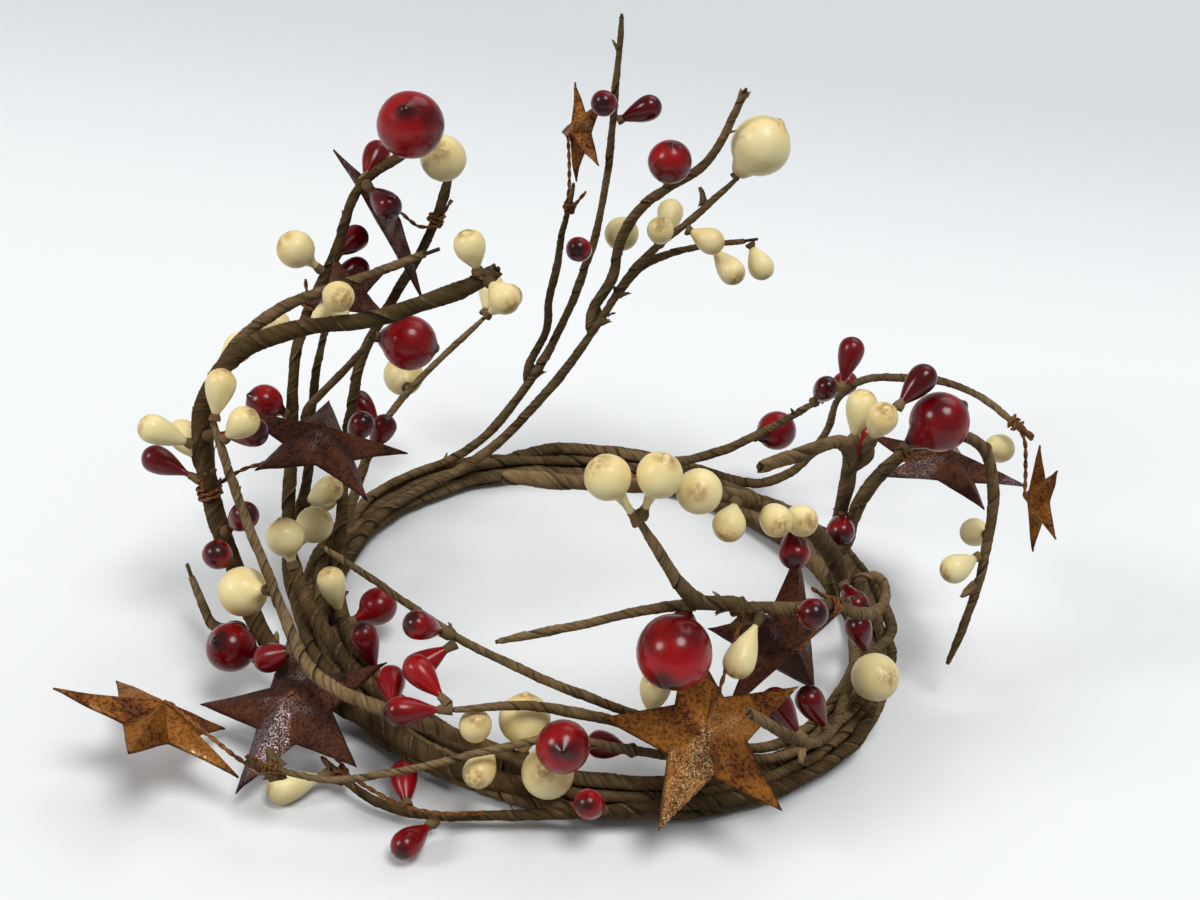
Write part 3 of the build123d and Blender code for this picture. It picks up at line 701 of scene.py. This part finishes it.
# shares of the berry's radius, but for ball, which is a share of its half turn
ballLook = {"nose": 0.1, "neck": 1.6, "shoulder": 1.18, "shoulderWide": 0.26, "ball": (0.09, 0.92),
            "tip": ((0.10, 0.20), (0.03, 0.12), (0.0, 0.06), (0.0, 0.0))}
pipLook = {"drawn": 2.45, "swell": 1.15, "rows": 7}
collarLook = {"foot": 1.5, "top": 0.95, "height": 2.4, "root": 0.8, "steps": 10, "uneven": 0.16, "crease": 50,
              "tone": 0.5, "taken": {"berries": 2.1, "pips": 3.3}, "least": 0.3, "overlap": 0.6,
              "heights": (0.8, 1.1), "feet": (0.85, 1.1)}


def roundProfile(length, r):      # stalk, drawn-out neck, ball, pinched lacquer tip
    look = ballLook
    root, stalk = berryLook["root"] * mm, berryLook["stalk"] * mm
    middle = length - (1 + look["nose"]) * r
    neck = max(middle - look["neck"] * r, 0.1 * mm)
    shoulder = max(middle - look["shoulder"] * r, 0.2 * mm)
    points = [(-root, 0), (-root, stalk), (neck, 1.25 * stalk), (shoulder, look["shoulderWide"] * r)]
    first, last = look["ball"]
    for k in range(1, berryLook["rows"]):
        a = pi * (first + (last - first) * k / berryLook["rows"])
        points.append((middle - r * cos(a), r * sin(a)))
    return points + [(length - back * r, wide * r) for back, wide in look["tip"]]


def pipProfile(length, r):        # a pear drawn out to its stalk
    look = pipLook
    root, stalk = berryLook["root"] * mm, berryLook["stalk"] * mm
    wide = length - r
    low = max(wide - look["drawn"] * r, 0.3 * mm)
    points = [(-root, 0), (-root, stalk), (low, stalk)]
    for k in range(1, look["rows"]):
        f = k / look["rows"]
        points.append((low + (wide - low) * f, stalk + (r - stalk) * sin(f * pi / 2) ** look["swell"]))
    for k in range(look["rows"]):
        a = pi / 2 * k / look["rows"]
        points.append((wide + r * sin(a), r * cos(a)))
    return points + [(length, 0)]


def turned(profile, steps):       # a profile of (height, radius) turned round the z axis
    bm = bmesh.new()
    verts = [bm.verts.new((radius, 0, z)) for z, radius in profile]
    edges = [bm.edges.new(pair) for pair in zip(verts, verts[1:])]
    bmesh.ops.spin(bm, geom=verts + edges, cent=(0, 0, 0), axis=(0, 0, 1), angle=2 * pi, steps=steps,
                   use_merge=True)
    bmesh.ops.remove_doubles(bm, verts=bm.verts, dist=2 * weld)
    return bm


def spunOn(whole, layerName, profile, base, tip, steps, wobble, seed, shade=0):
    way = (tip - base).normalized()
    length = (tip - base).length
    bm = turned(profile, steps)
    layers = newLayers(bm, (layerName, "shade"))
    for v in bm.verts:
        v[layers[layerName]] = min(max(v.co.z / length, 0), 1)
        v[layers["shade"]] = shade
    size = max(radius for z, radius in profile)
    for v in bm.verts:
        push = noise.noise_vector(seed + v.co * (berryLook["unevenSize"] / size))
        v.co += push * wobble * size * min(1, v.co.xy.length / size * 1.5)
    turn = Vector((0, 0, 1)).rotation_difference(way).to_matrix().to_4x4()
    bmesh.ops.transform(bm, matrix=Matrix.Translation(base) @ turn, verts=bm.verts)
    gather(whole, bm)


def gather(whole, part):    # adds a finished part to the piece it belongs to
    mesh = bpy.data.meshes.new("part")
    part.to_mesh(mesh)
    part.free()
    whole.from_mesh(mesh)
    bpy.data.meshes.remove(mesh)


profiles = {"berries": roundProfile, "pips": pipProfile}
sides = ("left", "front", "back_and_right")
stalks = []


def lacquered(side, colour, kind):
    look = berryLook
    node = "_".join((side, colour, kind))
    random.seed(node)
    bm = bmesh.new()
    newLayers(bm, ("tip", "shade"))
    for solid in looseSolids(node):
        base, tip, widest = stalkAndTip(solid)
        seed = randomSpot()
        profile = profiles[kind]((tip - base).length, widest)
        shade = random.uniform(*shadesOf.get(node, look["shades"]))
        spunOn(bm, "tip", profile, base, tip, look["steps"], look["uneven"], seed, shade)
        stalks.append((side, base, tip, widest, kind))
    smoothFaces(bm, look["crease"])
    addPiece(node + "_lacquered", bm, slotOf[node], "wreath", node)


def stalkCollars(side):      # a small paper collar where each stalk leaves its twig
    look = collarLook
    random.seed(side + " collars")
    bm = bmesh.new()
    newLayers(bm, ("turn",))
    for where, base, tip, widest, kind in stalks:
        if where != side:
            continue
        free = (tip - base).length - look["taken"][kind] * widest
        height = max(free / mm, look["least"]) + look["overlap"]
        height = min(look["height"], height) * mm * random.uniform(*look["heights"])
        foot = look["foot"] * mm * random.uniform(*look["feet"])
        root, top = look["root"] * mm, look["top"] * mm
        profile = [(-root, 0), (-root, foot), (0, foot * 0.95), (0.5 * height, 0.5 * (foot + top) * 0.92),
                   (height, top), (height - 0.1 * mm, 0.7 * top), (height - 0.2 * mm, 0)]
        seed = randomSpot()
        spunOn(bm, "turn", profile, base, tip, look["steps"], look["uneven"], seed)
    layers = newLayers(bm, ("tone",))
    for v in bm.verts:
        v[layers["tone"]] = look["tone"]
    smoothFaces(bm, look["crease"])
    addPiece(side + "_stalk_collars", bm, "twig_paper", "wreath")


for side in sides:
    for colour in ("red", "cream"):
        for kind in profiles:
            lacquered(side, colour, kind)
print("berries and pips turned:", len(stalks))
for side in sides:
    stalkCollars(side)
print("collars set:", len(stalks))


# tin stars: pressed ridges out to the points, valleys between, a nail hole for the wire

starLook = {"points": 5, "valley": 0.40, "peak": 0.25, "crown": 0.09, "hole": 0.5, "sheet": 0.45,
            "cuts": 7, "dent": 0.26, "dentSize": 7.0, "edgeWave": 0.45, "edgeSize": 2.0, "edgeFrom": 0.1,
            "curl": 0.7, "curlFrom": 0.6, "crease": 16, "wearAndGlintMiddle": 0.2, "wearAndGlint": (0.3, 0.1, 0.4, 0.2, 0.3)}
# how much bare metal and painted glint each point shows, from the highest one on, anticlockwise on its face
wearAndGlintPoints = {"front_star": (-0.3, -0.1, 0.6, 0.0, 0.65), "left_low_star": (-0.2, 0.75, 0.15, 0.75, -0.2),
              "left_flat_star": (-0.6, -0.4, -0.8, -0.5, -0.8), "right_flat_star": (0.5, 0.4, 0.6, 0.4, 0.5)}


def starFrame(node):        # where a star sits: its rim centre, first point and face, read from its solid
    points = [v.co.copy() for v in frame["nodes"][node].data.vertices]
    middle = sum(points, Vector()) / len(points)
    points.sort(key=lambda p: -(p - middle).length)
    tips = []
    for p in points:
        if all((p - t).length > 0.5 * (points[0] - middle).length for t in tips):
            tips.append(p)
        if len(tips) == starLook["points"]:
            break
    centre = sum(tips, Vector()) / len(tips)
    top = max(tips, key=lambda t: t.z) - centre
    second = max(tips, key=lambda t: (t - centre).normalized().cross(top.normalized()).length) - centre
    normal = top.cross(second).normalized()
    if normal.dot(middle - centre) < 0:
        normal.negate()
    x = top.normalized()
    reach = sum((t - centre).length for t in tips) / len(tips)
    place = Matrix((x, normal.cross(x), normal)).transposed().to_4x4()
    return Matrix.Translation(centre) @ place, reach


def tinStar(node):
    look = starLook
    random.seed(node)
    place, reach = starFrame(node)
    crown = look["peak"] * reach * (1 - look["crown"])
    bm = bmesh.new()
    outline = bmesh.ops.create_circle(bm, segments=2 * look["points"], radius=reach)["verts"]
    for k, v in enumerate(outline):
        r = reach * look["valley"] if k % 2 else reach
        turn = radians(180 / look["points"] * k)
        v.co = Vector((r * cos(turn), r * sin(turn), 0))
    edges = bm.edges[:]
    for part in ("slope", "hole"):
        grown = bmesh.ops.extrude_edge_only(bm, edges=edges)["geom"]
        verts = [g for g in grown if isinstance(g, bmesh.types.BMVert)]
        edges = [g for g in grown if isinstance(g, bmesh.types.BMEdge) and all(v in verts for v in g.verts)]
        for v in verts:
            if part == "slope":
                v.co = Vector((v.co.x * look["crown"], v.co.y * look["crown"], crown))
            else:
                v.co.xy = v.co.xy.normalized() * look["hole"] * mm
    slopes = [e for e in bm.edges if not e.is_boundary or e.verts[0].co.xy.length > 4 * look["hole"] * mm]
    bmesh.ops.subdivide_edges(bm, edges=slopes, cuts=look["cuts"], use_grid_fill=True)
    seed = randomSpot()
    curls = [random.uniform(-1, 1) * look["curl"] * mm for k in range(look["points"])]
    wearAndGlint = wearAndGlintPoints.get(node, look["wearAndGlint"])
    layers = newLayers(bm, ("rim", "wearAndGlint"))
    for v in bm.verts:
        out = v.co.xy.length / reach
        arm = round(degrees(atan2(v.co.y, v.co.x)) / (360 / look["points"])) % look["points"]
        v[layers["rim"]] = float(v.is_boundary)
        # wear and painted glint of each point, blending to a middle value towards the centre
        v[layers["wearAndGlint"]] = look["wearAndGlintMiddle"] + (wearAndGlint[arm] - look["wearAndGlintMiddle"]) * ease(out * 2.5)
        v.co.z += look["dent"] * mm * noise.noise(seed + v.co / (look["dentSize"] * mm)) * min(1, out * 2)
        v.co.z += curls[arm] * ease((out - look["curlFrom"]) / (1 - look["curlFrom"]))
        if v.is_boundary and out > look["edgeFrom"]:
            ragged = abs(noise.noise(seed + v.co / (look["edgeSize"] * mm)))
            v.co.xy *= 1 - look["edgeWave"] * mm / reach * ragged
    smoothFaces(bm, look["crease"])
    if sum(f.normal.z for f in bm.faces) < 0:
        bmesh.ops.reverse_faces(bm, faces=bm.faces)
    bmesh.ops.transform(bm, matrix=place, verts=bm.verts)
    addPiece(node + "_tin", bm, slotOf[node], bodyOf[node], node, sheet=look["sheet"] * mm, offset=-1)


stars = [node for node in slotOf if node.endswith("_star")]
for node in stars:
    tinStar(node)
print("stars pressed:", len(stars))

# tie wires: a twisted pair through the nail hole, along the face and round the twig

tieLook = {"wire": 0.30, "apart": 0.26, "twist": 5.0, "lift": 1.0, "hook": 1.7, "turns": 2.5,
           "perTurn": 8, "spacing": 4.0, "step": 0.7, "tail": 2.4, "clear": 0.85, "dip": 0.35, "crease": 60}
# star: which face the wire leaves on, the twig it is tied to and how far along that
ties = {"front_star": (1, "front_cross_twig", 0.595), "left_low_star": (-1, "front_low_twig", 0.96),
        "left_flat_star": (-1, "left_arch_stem", 0.50), "left_end_star": (1, "front_star_twig", 0.97),
        "left_edge_star": (1, "left_inner_stem", 0.93), "left_small_star": (-1, "left_tall_stem", 0.74),
        "front_dark_star": (1, "front_cross_twig", 0.38), "right_flat_star": (1, "right_drooping_twig", 0.28),
        "right_small_star": (1, "right_back_stem", 0.97), "back_small_star": (1, "back_star_twig", 0.88)}


def tieRoute(star):
    look = tieLook
    side, twig, share = ties[star]
    place, reach = starFrame(star)
    normal, across, centre = place.col[2].xyz, place.col[0].xyz, place.translation
    crown = starLook["peak"] * reach * (1 - starLook["crown"])
    middle = centre + normal * crown
    axis = normal * side
    leave = middle + axis * look["lift"] * mm if side > 0 else centre + axis * look["lift"] * mm
    under = middle - axis * look["lift"] * mm * (1 if side > 0 else 0.8)
    spots, radius = twigLines[twig]
    k = min(int(share * (len(spots) - 1)), len(spots) - 2)
    along = (spots[k + 1] - spots[k]).normalized()
    away = leave - spots[k]
    away = away - along * away.dot(along)
    coil = (radius * thinning(twig, share) + 2 * look["wire"]) * mm
    touch = acos(min(coil / away.length, 1))
    away.normalize()
    sideways = along.cross(away)
    rounds = []
    half = pi / look["perTurn"]
    for n in range(round(look["perTurn"] * look["turns"])):
        turn = touch + half + n * 2 * half
        climb = look["spacing"] * look["wire"] * mm * (n / look["perTurn"] - look["turns"] / 2)
        outward = (away * cos(turn) + sideways * sin(turn)) * coil / cos(half)
        rounds.append(spots[k] + along * climb + outward)
    legs = []
    for f in (0.25, 0.5, 0.75):
        spot = leave.lerp(rounds[0], f)
        height = (spot - centre).dot(axis)
        flat = spot - axis * height
        face = crown * max(1 - (flat - centre).length / reach, 0) if side > 0 else 0
        height = max(face + look["clear"] * mm, height - look["dip"] * max(height - face, 0))
        legs.append(flat + axis * height)
    tail = rounds[-1] + (rounds[-1] - spots[k]).normalized() * look["tail"] * mm + along * look["tail"] * mm
    return [under + across * look["hook"] * mm, under, leave] + legs + rounds + [tail]


def wirePair(whole, points):
    look = tieLook
    spots = evenly(nurbsLine(points), look["step"] * mm)[0]
    pairs = frames(spots)
    strands = []
    for start in (0, pi):
        turns = [start + 2 * pi * k * look["step"] / look["twist"] for k in range(len(spots))]
        strands.append([spot + (side * cos(turn) + across * sin(turn)) * look["apart"] * mm
                        for spot, (side, across), turn in zip(spots, pairs, turns)])
    mesh = nurbsMesh(strands, resolution=2, thick=look["wire"] * mm)
    whole.from_mesh(mesh)
    bpy.data.meshes.remove(mesh)


# the wire of the low star runs on along the low twig
looseWire = [(-124, 23, 9), (-119, 24, 10), (-113, 23, 8), (-107, 19, 7), (-103, 15, 7)]
tieGroups = {"left": "left_tie_wires", "front": "front_tie_wires", "back": "back_and_right_tie_wires",
             "right": "back_and_right_tie_wires"}
for group in dict.fromkeys(tieGroups.values()):
    bm = bmesh.new()
    for star in ties:
        if tieGroups[star.split("_")[0]] == group:
            points = tieRoute(star)
            if star == "left_low_star":
                points = points[:-1] + [onRing(*p) for p in looseWire]
            wirePair(bm, points)
    smoothFaces(bm, tieLook["crease"])
    addPiece(group[:-1] + "_pairs", bm, "rusty_wire", "wreath", group)
print("stars tied:", len(ties))


# shreds of paper that have come loose along the twigs, and a few larger flaps

shredLook = {"every": 62.0, "long": (1.8, 4.2), "wide": (0.9, 1.9), "lift": (0.18, 0.6), "rows": 6,
             "columns": 3, "sheet": 0.12, "tone": 0.75, "forkLong": (2.5, 4.5), "forkWide": (2.0, 3.2),
             "forkLift": 0.35, "last": 0.96, "lean": (0.75, 0.65), "seat": 0.85, "narrow": 0.75,
             "ragged": 0.35, "curl": 0.35, "shorten": 0.25}
# twig, share of its length, angle round it, length, width and lift
flaps = [("front_cross_twig", 0.545, -90, 6.5, 4.6, 0.9), ("front_cross_twig", 0.66, 60, 4.0, 3.0, 0.8),
         ("left_arch_stem", 0.63, 30, 5.0, 3.2, 0.6), ("front_long_twig", 0.78, 200, 5.5, 3.4, 0.5),
         ("right_drooping_twig", 0.80, -20, 4.5, 3.4, 0.7), ("back_spread_stem", 0.93, 100, 4.5, 3.0, 0.8),
         ("front_star_twig", 0.955, 0, 5.5, 4.0, 0.25), ("front_star_twig", 0.96, 130, 5.0, 4.0, 0.3),
         ("front_star_twig", 0.955, 250, 5.0, 4.0, 0.2), ("front_low_twig", 0.55, -150, 5.0, 3.5, 0.6),
         ("front_right_twig", 0.85, 40, 4.5, 3.0, 0.7)]


def paperShred(whole, twig, share, around, long, wide, lift):
    look = shredLook
    spots, radius = twigLines[twig]
    k = min(int(share * (len(spots) - 1)), len(spots) - 2)
    along = (spots[k + 1] - spots[k]).normalized()
    out = along.orthogonal().normalized()
    out = Matrix.Rotation(radians(around), 3, along) @ out
    across = along.cross(out)
    run = along * look["lean"][0] + across * look["lean"][1]    # the way the ribbon winds
    run.normalize()
    bm = bmesh.new()
    layers = newLayers(bm, paperLayers)
    thick = radius * thinning(twig, share) * mm
    bmesh.ops.create_grid(bm, x_segments=look["rows"], y_segments=look["columns"], size=0.5)
    wide, long = wide * mm, long * mm
    seed = randomSpot()
    for v in bm.verts:
        share = v.co.x + 0.5
        beside = v.co.y * (1 - look["narrow"] * share ** 1.5)
        ragged = 1 + look["ragged"] * noise.noise(seed + v.co * 5)
        spot = spots[k] + out * (look["seat"] * thick + lift * long * share ** 1.6)
        curl = look["curl"] * wide * (beside * 2) ** 2 * share
        spot += run * long * share * (1 - look["shorten"] * lift * share) * ragged
        v.co = spot + run.cross(out) * wide * beside - out * curl
        v[layers["turn"]], v[layers["along"]] = 0.3 + beside * 0.5, share * long
        v[layers["tone"]] = look["tone"]
    for face in bm.faces:
        face.smooth = True
    gather(whole, bm)


random.seed("shreds")
bm = bmesh.new()
newLayers(bm, paperLayers)
for twig, (spots, radius) in twigLines.items():
    for k in range(int(len(spots) * lineStep / mm / shredLook["every"])):
        long, wide, lift = (random.uniform(*shredLook[key]) for key in ("long", "wide", "lift"))
        share = random.random() * shredLook["last"]
        paperShred(bm, twig, share, random.uniform(0, 360), long, wide, lift)
for flap in flaps:
    paperShred(bm, *flap)
for parent, share in forks:      # the paper is ragged where a side twig leaves
    for around in (random.uniform(0, 180), random.uniform(180, 360)):
        long, wide = random.uniform(*shredLook["forkLong"]), random.uniform(*shredLook["forkWide"])
        paperShred(bm, parent, share, around, long, wide, shredLook["forkLift"])
shreds = addPiece("paper_shreds", bm, "twig_paper", "wreath", sheet=shredLook["sheet"] * mm)
print("shreds and flaps:", len(shreds.data.polygons) // (shredLook["columns"] * shredLook["rows"]))


# floor, light and camera

# back is the grey of painted backdrop shade, faded in between the two fade depths
stageLook = {"radius": 2.6, "curve": 0.4, "wall": 0.8, "steps": 64, "bends": 8, "rough": 0.6, "shine": 0.1,
             "fade": (0.16, 0.55), "floor": rgb(0.90, 0.92, 0.93), "back": rgb(0.66, 0.69, 0.71),
             "shade": rgb(0.36, 0.37, 0.38)}


def paleStage():      # a wide round floor that curves up into a low wall
    look = stageLook
    finish, shader, pen, spot = newFinish("paleFloor")
    depth = pen.node("SeparateXYZ", None, {0: spot}, "Y")
    # painted shade: the floor greys towards the back, like a backdrop in shade
    pale = depth.band(*look["fade"]).mix(look["floor"], look["back"])
    seen = pen.node("LightPath", out="Is Camera Ray") + pen.node("LightPath", out="Is Glossy Ray")
    seen = seen + pen.node("LightPath", out="Is Transmission Ray")
    plug(pen, shader, "Base Color", seen.mix(look["shade"], pale))    # throws little light back up
    fixed(shader, {"Roughness": look["rough"], "Specular IOR Level": look["shine"]})
    curve = look["curve"]
    profile = [(0, 0), (0, look["radius"])]
    for k in range(1, look["bends"] + 1):
        a = pi / 2 * k / look["bends"]
        profile.append((curve * (1 - cos(a)), look["radius"] + curve * sin(a)))
    profile.append((curve + look["wall"], profile[-1][1]))
    bm = turned(profile, look["steps"])
    for face in bm.faces:
        face.smooth = True
    floor = newObject("floor", bm, finish)


# distant soft lamps, so that the floor is evenly lit: where from, how wide in degrees, how strong
lamps = {"over": {"from": (0.18, -0.25, 0.85), "wide": 24, "strength": 1.6},
         "side": {"from": (-0.75, -0.35, 0.55), "wide": 20, "strength": 1.1},
         "behind": {"from": (0.25, 0.50, 0.75), "wide": 36, "strength": 0.5}}
skyLight = 0.26


def lightUp():
    for name, lamp in lamps.items():
        data = bpy.data.lights.new(name, "SUN")
        data.angle = radians(lamp["wide"])
        data.energy = lamp["strength"]
        light = bpy.data.objects.new(name, data)
        light.rotation_euler = (-Vector(lamp["from"])).to_track_quat("-Z", "Y").to_euler()
        bpy.context.scene.collection.objects.link(light)
    world = bpy.data.worlds.new("studio")
    world.use_nodes = True
    fixed(world.node_tree.nodes["Background"], {"Color": rgb(1, 1, 1), "Strength": skyLight})
    bpy.context.scene.world = world


cameraLook = {"spot": (-0.0046, -0.355, 0.2587), "down": 30.31, "roll": 7.24, "lens": 50.0,
              "sensor": 36.0, "near": 0.01}


def setCamera():
    look = cameraLook
    data = bpy.data.cameras.new("camera")
    data.lens = look["lens"]
    data.sensor_width = look["sensor"]
    data.clip_start = look["near"]
    camera = bpy.data.objects.new("camera", data)
    camera.matrix_world = (Matrix.Translation(look["spot"])
                           @ Matrix.Rotation(radians(90 - look["down"]), 4, "X")
                           @ Matrix.Rotation(radians(look["roll"]), 4, "Z"))
    bpy.context.scene.collection.objects.link(camera)
    bpy.context.scene.camera = camera


paleStage()
lightUp()
setCamera()
bpy.context.scene.view_settings.view_transform = "Standard"
print("stage, lamps and camera set")
